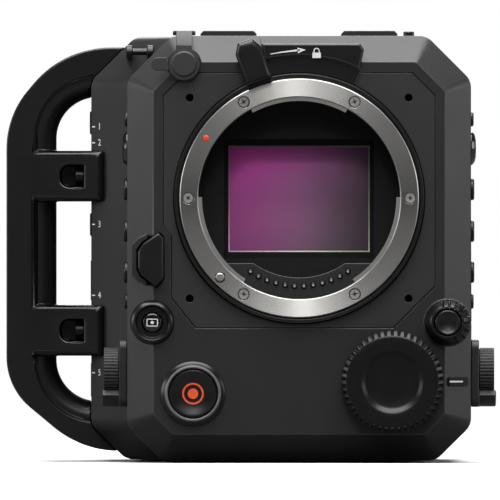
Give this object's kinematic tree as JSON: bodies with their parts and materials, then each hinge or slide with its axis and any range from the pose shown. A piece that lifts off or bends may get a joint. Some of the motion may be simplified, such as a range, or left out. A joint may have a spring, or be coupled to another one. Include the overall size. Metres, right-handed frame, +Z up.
{
  "type": "cinema camera",
  "caption": "Box-shaped black digital cinema camera body with an open steel bayonet mount, side grip frame and rear battery.",
  "frame": {"origin": "mouth of the centre tripod thread in the base, under the optical axis", "axes": "+Z up, the lens looks along -Y, +X to the right of someone facing the lens mount"},
  "size_m": [0.164, 0.1622, 0.1442],
  "materials": {
    "casing_metal": "fine matt black texture paint",
    "black_metal": "satin black",
    "steel": "satin turned",
    "flock_black": "dull black against stray light",
    "gold_contacts": "gold plated",
    "control_plastic": "satin",
    "knurled_metal": "black anodised",
    "cap_rubber": "matt",
    "cover_glass": "clear coated",
    "sensor_surface": "iridescent",
    "circuit_green": "solder mask",
    "sink_aluminium": "plain",
    "inner_plastic": "fine texture",
    "socket_metal": "nickel plated"
  },
  "bodies": {
    "camera": {"front_casing": "casing_metal", "main_casing": "casing_metal", "rear_cover": "casing_metal", "handle_rails": "black_metal", "base_plate": "black_metal", "mount_plate": "casing_metal", "mount_ring": "steel", "mount_screws": "steel", "lock_plate": "black_metal", "light_box": "flock_black", "contact_block": "flock_black", "contact_pins": "gold_contacts", "sensor_frame": "flock_black", "sensor_glass": "cover_glass", "image_sensor": "sensor_surface", "circuit_boards": "circuit_green", "heat_sink": "sink_aluminium", "fan_frame": "inner_plastic", "button_bezels": "black_metal", "dial_index": "black_metal", "wheel_bases": "black_metal", "guard_frame": "black_metal", "guard_screws": "steel", "tie_bar": "black_metal", "signal_sockets": "socket_metal", "rear_sockets": "socket_metal", "battery_plate": "inner_plastic", "side_panel": "casing_metal", "status_screen": "cover_glass", "card_reader": "inner_plastic"},
    "lock_lever": {"lock_lever": "black_metal"},
    "lens_lock_pin": {"lens_lock_pin": "steel"},
    "release_button": {"release_button": "control_plastic"},
    "record_button": {"record_button": "control_plastic"},
    "grab_button": {"grab_button": "control_plastic"},
    "filter_dial": {"filter_dial": "knurled_metal"},
    "corner_dial": {"corner_dial": "knurled_metal"},
    "corner_button": {"corner_button": "control_plastic"},
    "top_button": {"top_button": "control_plastic"},
    "right_stick": {"right_stick": "control_plastic"},
    "left_stick": {"left_stick": "control_plastic"},
    "right_wheel": {"right_wheel": "knurled_metal"},
    "left_wheel": {"left_wheel": "knurled_metal"},
    "cooling_fan": {"cooling_fan": "inner_plastic"},
    "card_door": {"card_door": "casing_metal"},
    "power_switch": {"power_switch": "control_plastic"},
    "battery": {"battery": "inner_plastic"},
    "battery_latch": {"battery_latch": "control_plastic"},
    "dc_cap": {"dc_cap": "cap_rubber"},
    "density_filter": {"density_filter": "cover_glass"},
    "right_button_1": {"right_button_1": "control_plastic"},
    "right_button_2": {"right_button_2": "control_plastic"},
    "right_button_3": {"right_button_3": "control_plastic"},
    "right_button_4": {"right_button_4": "control_plastic"},
    "right_button_5": {"right_button_5": "control_plastic"},
    "left_button_1": {"left_button_1": "control_plastic"},
    "left_button_2": {"left_button_2": "control_plastic"},
    "left_button_3": {"left_button_3": "control_plastic"},
    "left_button_4": {"left_button_4": "control_plastic"},
    "left_button_5": {"left_button_5": "control_plastic"}
  },
  "joints": [
    {"name": "lock_lever_turn", "type": "hinge", "parent": "camera", "child": "lock_lever", "pos_m": [0, -0.0647, 0.088], "axis": [0, 1, 0], "range_deg": [0, 33]},
    {"name": "release_button_press", "type": "slide", "parent": "camera", "child": "release_button", "axis": [0, 1, 0], "range_m": [0, 0.0015], "stiffness_N_per_m": 400},
    {"name": "lens_lock_pin_slide", "type": "slide", "parent": "camera", "child": "lens_lock_pin", "axis": [0, 1, 0], "range_m": [0, 0.0021]},
    {"name": "record_button_press", "type": "slide", "parent": "camera", "child": "record_button", "axis": [0, 1, 0], "range_m": [0, 0.001], "stiffness_N_per_m": 250},
    {"name": "grab_button_press", "type": "slide", "parent": "camera", "child": "grab_button", "axis": [0, 1, 0], "range_m": [0, 0.0008], "stiffness_N_per_m": 250},
    {"name": "filter_dial_turn", "type": "hinge", "parent": "camera", "child": "filter_dial", "pos_m": [0.031, -0.066, 0.0268], "axis": [0, 1, 0], "continuous": true},
    {"name": "corner_dial_turn", "type": "hinge", "parent": "camera", "child": "corner_dial", "pos_m": [0.0495, -0.064, 0.0465], "axis": [0, 1, 0], "continuous": true},
    {"name": "corner_button_press", "type": "slide", "parent": "corner_dial", "child": "corner_button", "axis": [0, 1, 0], "range_m": [0, 0.0007], "stiffness_N_per_m": 250},
    {"name": "top_button_press", "type": "slide", "parent": "camera", "child": "top_button", "axis": [0, 0, -1], "range_m": [0, 0.0008], "stiffness_N_per_m": 250},
    {"name": "right_button_1_press", "type": "slide", "parent": "camera", "child": "right_button_1", "axis": [-1, 0, 0], "range_m": [0, 0.0008], "stiffness_N_per_m": 250},
    {"name": "right_button_2_press", "type": "slide", "parent": "camera", "child": "right_button_2", "axis": [-1, 0, 0], "range_m": [0, 0.0008], "stiffness_N_per_m": 250},
    {"name": "right_button_3_press", "type": "slide", "parent": "camera", "child": "right_button_3", "axis": [-1, 0, 0], "range_m": [0, 0.0008], "stiffness_N_per_m": 250},
    {"name": "right_button_4_press", "type": "slide", "parent": "camera", "child": "right_button_4", "axis": [-1, 0, 0], "range_m": [0, 0.0008], "stiffness_N_per_m": 250},
    {"name": "right_button_5_press", "type": "slide", "parent": "camera", "child": "right_button_5", "axis": [-1, 0, 0], "range_m": [0, 0.0008], "stiffness_N_per_m": 250},
    {"name": "left_button_1_press", "type": "slide", "parent": "camera", "child": "left_button_1", "axis": [1, 0, 0], "range_m": [0, 0.0008], "stiffness_N_per_m": 250},
    {"name": "left_button_2_press", "type": "slide", "parent": "camera", "child": "left_button_2", "axis": [1, 0, 0], "range_m": [0, 0.0008], "stiffness_N_per_m": 250},
    {"name": "left_button_3_press", "type": "slide", "parent": "camera", "child": "left_button_3", "axis": [1, 0, 0], "range_m": [0, 0.0008], "stiffness_N_per_m": 250},
    {"name": "left_button_4_press", "type": "slide", "parent": "camera", "child": "left_button_4", "axis": [1, 0, 0], "range_m": [0, 0.0008], "stiffness_N_per_m": 250},
    {"name": "left_button_5_press", "type": "slide", "parent": "camera", "child": "left_button_5", "axis": [1, 0, 0], "range_m": [0, 0.0008], "stiffness_N_per_m": 250},
    {"name": "right_stick_press", "type": "slide", "parent": "camera", "child": "right_stick", "axis": [-1, 0, 0], "range_m": [0, 0.0006], "stiffness_N_per_m": 250},
    {"name": "left_stick_press", "type": "slide", "parent": "camera", "child": "left_stick", "axis": [1, 0, 0], "range_m": [0, 0.0006], "stiffness_N_per_m": 250},
    {"name": "right_wheel_turn", "type": "hinge", "parent": "camera", "child": "right_wheel", "pos_m": [0.0615, -0.042, 0.0298], "axis": [1, 0, 0], "continuous": true},
    {"name": "left_wheel_turn", "type": "hinge", "parent": "camera", "child": "left_wheel", "pos_m": [-0.0615, -0.042, 0.0298], "axis": [1, 0, 0], "continuous": true},
    {"name": "cooling_fan_turn", "type": "hinge", "parent": "camera", "child": "cooling_fan", "pos_m": [0.049, 0.034, 0.033], "axis": [1, 0, 0], "continuous": true},
    {"name": "card_door_swing", "type": "hinge", "parent": "camera", "child": "card_door", "pos_m": [0.0564, 0.0526, 0.086], "axis": [0, 0, 1], "range_deg": [0, 95]},
    {"name": "power_switch_slide", "type": "slide", "parent": "camera", "child": "power_switch", "axis": [0, 1, 0], "range_m": [0, 0.006]},
    {"name": "battery_slide", "type": "slide", "parent": "camera", "child": "battery", "axis": [0, 0, 1], "range_m": [0, 0.1]},
    {"name": "battery_latch_slide", "type": "slide", "parent": "camera", "child": "battery_latch", "axis": [0, 0, -1], "range_m": [0, 0.003], "stiffness_N_per_m": 250},
    {"name": "dc_cap_swing", "type": "hinge", "parent": "camera", "child": "dc_cap", "pos_m": [-0.0384, -0.05, 0.14315], "axis": [-1, 0, 0], "range_deg": [0, 150]},
    {"name": "density_filter_slide", "type": "slide", "parent": "camera", "child": "density_filter", "axis": [0, 0, 1], "range_m": [0, 0.0418]}
  ],
  "couplings": [
    {"joint": "lens_lock_pin_slide", "follows": "release_button_press", "ratio": 1.3333}
  ]
}
